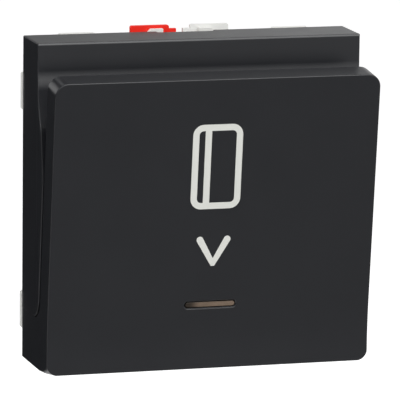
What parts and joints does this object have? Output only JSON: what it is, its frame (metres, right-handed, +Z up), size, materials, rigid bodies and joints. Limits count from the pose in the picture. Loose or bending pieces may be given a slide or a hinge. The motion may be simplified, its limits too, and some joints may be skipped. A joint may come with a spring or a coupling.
{
  "type": "hotel key card switch",
  "caption": "Square wall switch module that a key card, stood in its leaning slot, holds on; the card pushes a lever back onto a changeover contact.",
  "frame": {"origin": "centre of the square module aperture, on the plane where the ledge meets the support frame", "axes": "+X right as seen from the room, +Y into the wall, +Z up"},
  "size_m": [0.045, 0.041, 0.0458],
  "materials": {
    "anthracite": "fine textured satin",
    "dark_inner": "matt moulded",
    "smoked_clear": "smoked clear, polished",
    "light_grey": "matt moulded",
    "lever_white": "matt moulded",
    "steel": "drawn spring steel",
    "black": "matt moulded",
    "brass": "stamped sheet",
    "red": "matt moulded",
    "button_grey": "matt moulded",
    "button_blue": "matt moulded",
    "board_green": "lacquered",
    "lamp": "clear resin",
    "component": "lacquered",
    "lead": "smooth sleeve"
  },
  "bodies": {
    "housing": {"front_cover": "anthracite", "card_guide_plate": "dark_inner", "light_guide": "smoked_clear", "rear_frame": "anthracite", "mechanism_cover": "light_grey", "mechanism_base": "light_grey", "lever_pin": "steel", "lever_spring": "steel", "microswitch_case": "black", "microswitch_lid": "dark_inner", "common_contact": "brass", "make_contact": "brass", "rest_contact": "brass", "indicator_board": "board_green", "indicator_led": "lamp", "board_components": "component", "led_leads": "lead", "busbar_line": "brass", "clamp_spring_line": "steel", "busbar_load": "brass", "clamp_spring_load": "steel", "busbar_rest": "brass", "clamp_spring_rest": "steel", "busbar_neutral": "brass", "clamp_spring_neutral": "steel"},
    "card_lever": {"card_lever": "lever_white"},
    "switch_plunger": {"switch_plunger": "lever_white"},
    "contact_blade": {"contact_blade": "brass"},
    "release_button_line": {"release_button_line": "red"},
    "release_button_load": {"release_button_load": "button_grey"},
    "release_button_rest": {"release_button_rest": "button_grey"},
    "release_button_neutral": {"release_button_neutral": "button_blue"}
  },
  "joints": [
    {"name": "card_lever_pivot", "type": "hinge", "parent": "housing", "child": "card_lever", "pos_m": [0, -0.0064, 0.0075], "axis": [1, 0, 0], "range_deg": [0, 9], "stiffness_Nm_per_rad": 0.02, "springref_deg": -20.05, "deforming": ["lever_spring"]},
    {"name": "plunger_slide", "type": "slide", "parent": "housing", "child": "switch_plunger", "axis": [0, 1, 0], "range_m": [0, 0.00146]},
    {"name": "blade_pivot", "type": "hinge", "parent": "housing", "child": "contact_blade", "pos_m": [0, -0.0003, 0.008], "axis": [1, 0, 0], "range_deg": [0, 8.72]},
    {"name": "release_line", "type": "slide", "parent": "housing", "child": "release_button_line", "axis": [0, 0, -1], "range_m": [0, 0.0015], "stiffness_N_per_m": 1500, "springref_m": -0.0005, "deforming": ["clamp_spring_line"]},
    {"name": "release_load", "type": "slide", "parent": "housing", "child": "release_button_load", "axis": [0, 0, -1], "range_m": [0, 0.0015], "stiffness_N_per_m": 1500, "springref_m": -0.0005, "deforming": ["clamp_spring_load"]},
    {"name": "release_rest", "type": "slide", "parent": "housing", "child": "release_button_rest", "axis": [0, 0, 1], "range_m": [0, 0.0015], "stiffness_N_per_m": 1500, "springref_m": -0.0005, "deforming": ["clamp_spring_rest"]},
    {"name": "release_neutral", "type": "slide", "parent": "housing", "child": "release_button_neutral", "axis": [0, 0, 1], "range_m": [0, 0.0015], "stiffness_N_per_m": 1500, "springref_m": -0.0005, "deforming": ["clamp_spring_neutral"]}
  ],
  "couplings": [
    {"joint": "plunger_slide", "follows": "card_lever_pivot", "m_per_rad": 0.0092573},
    {"joint": "blade_pivot", "follows": "card_lever_pivot", "ratio": 0.96695}
  ]
}
